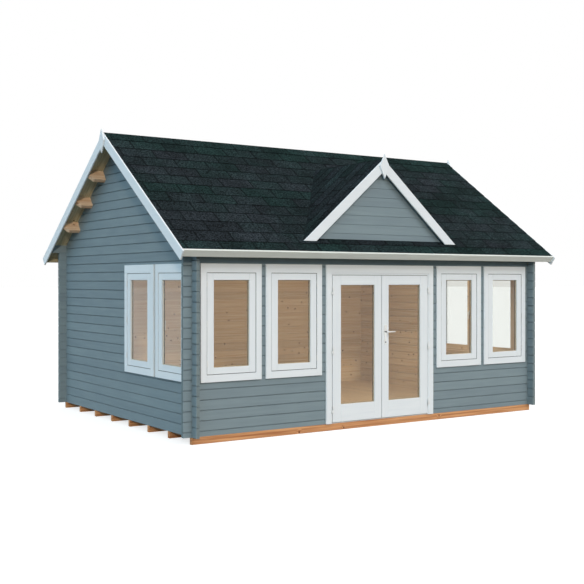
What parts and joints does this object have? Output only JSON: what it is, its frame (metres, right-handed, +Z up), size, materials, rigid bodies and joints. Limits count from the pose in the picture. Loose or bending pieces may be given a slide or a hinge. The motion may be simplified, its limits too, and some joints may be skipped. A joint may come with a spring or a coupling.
{
  "type": "wooden garden house",
  "caption": "Log-walled garden house with crossed corners, gabled shingle roof, small front gable, glazed double door and tall casement windows.",
  "frame": {"origin": "middle of the plan, on the level floor under the bearers", "axes": "+X along the front to its right, +Y from the front to the back, +Z up; the double door faces -Y"},
  "size_m": [5.8814, 4.206, 3.691],
  "materials": {
    "grey_paint": "grey-blue opaque stain on planed logs, satin",
    "white_paint": "white paint, satin",
    "natural_pine": "bare planed pine",
    "treated_pine": "pressure treated pine, brown",
    "roof_covering": "boards under dark felt shingles, mineral surface",
    "glass": "clear double glazing",
    "steel": "satin lever set"
  },
  "bodies": {
    "house": {"bearer_1": "treated_pine", "bearer_2": "treated_pine", "bearer_3": "treated_pine", "bearer_4": "treated_pine", "bearer_5": "treated_pine", "bearer_6": "treated_pine", "bearer_7": "treated_pine", "bearer_8": "treated_pine", "floor": "natural_pine", "front_wall_left": "grey_paint", "front_wall_right": "grey_paint", "front_wall_over_door": "grey_paint", "back_wall": "grey_paint", "purlin_front_1": "natural_pine", "purlin_front_2": "natural_pine", "purlin_front_3": "natural_pine", "purlin_back_1": "natural_pine", "purlin_back_2": "natural_pine", "purlin_back_3": "natural_pine", "ridge_purlin": "natural_pine", "left_gable_wall": "grey_paint", "right_gable_wall": "grey_paint", "front_window_1_frame": "white_paint", "front_window_1_glass": "glass", "front_window_2_frame": "white_paint", "front_window_2_glass": "glass", "front_window_3_frame": "white_paint", "front_window_3_glass": "glass", "front_window_4_frame": "white_paint", "front_window_4_glass": "glass", "left_window_1_frame": "white_paint", "left_window_1_glass": "glass", "left_window_2_frame": "white_paint", "left_window_2_glass": "glass", "right_window_1_frame": "white_paint", "right_window_1_glass": "glass", "right_window_2_frame": "white_paint", "right_window_2_glass": "glass", "door_frame": "white_paint", "front_roof": "roof_covering", "back_roof": "roof_covering", "dormer_roof": "roof_covering", "front_fascia": "white_paint", "back_fascia": "white_paint", "left_bargeboards": "white_paint", "right_bargeboards": "white_paint", "left_finial": "white_paint", "right_finial": "white_paint", "dormer_bargeboards": "white_paint", "dormer_finial": "white_paint", "dormer_wall": "grey_paint"},
    "left_leaf": {"door_leaf_left": "white_paint", "door_glass_left": "glass"},
    "right_leaf": {"door_leaf_right": "white_paint", "door_glass_right": "glass", "door_handle": "steel"}
  },
  "joints": [
    {"name": "left_leaf_hinge", "type": "hinge", "parent": "house", "child": "left_leaf", "pos_m": [-0.765, -1.8845, 0.962], "axis": [0, 0, -1], "range_deg": [0, 110]},
    {"name": "right_leaf_hinge", "type": "hinge", "parent": "house", "child": "right_leaf", "pos_m": [0.765, -1.8845, 0.962], "axis": [0, 0, 1], "range_deg": [0, 110]}
  ]
}
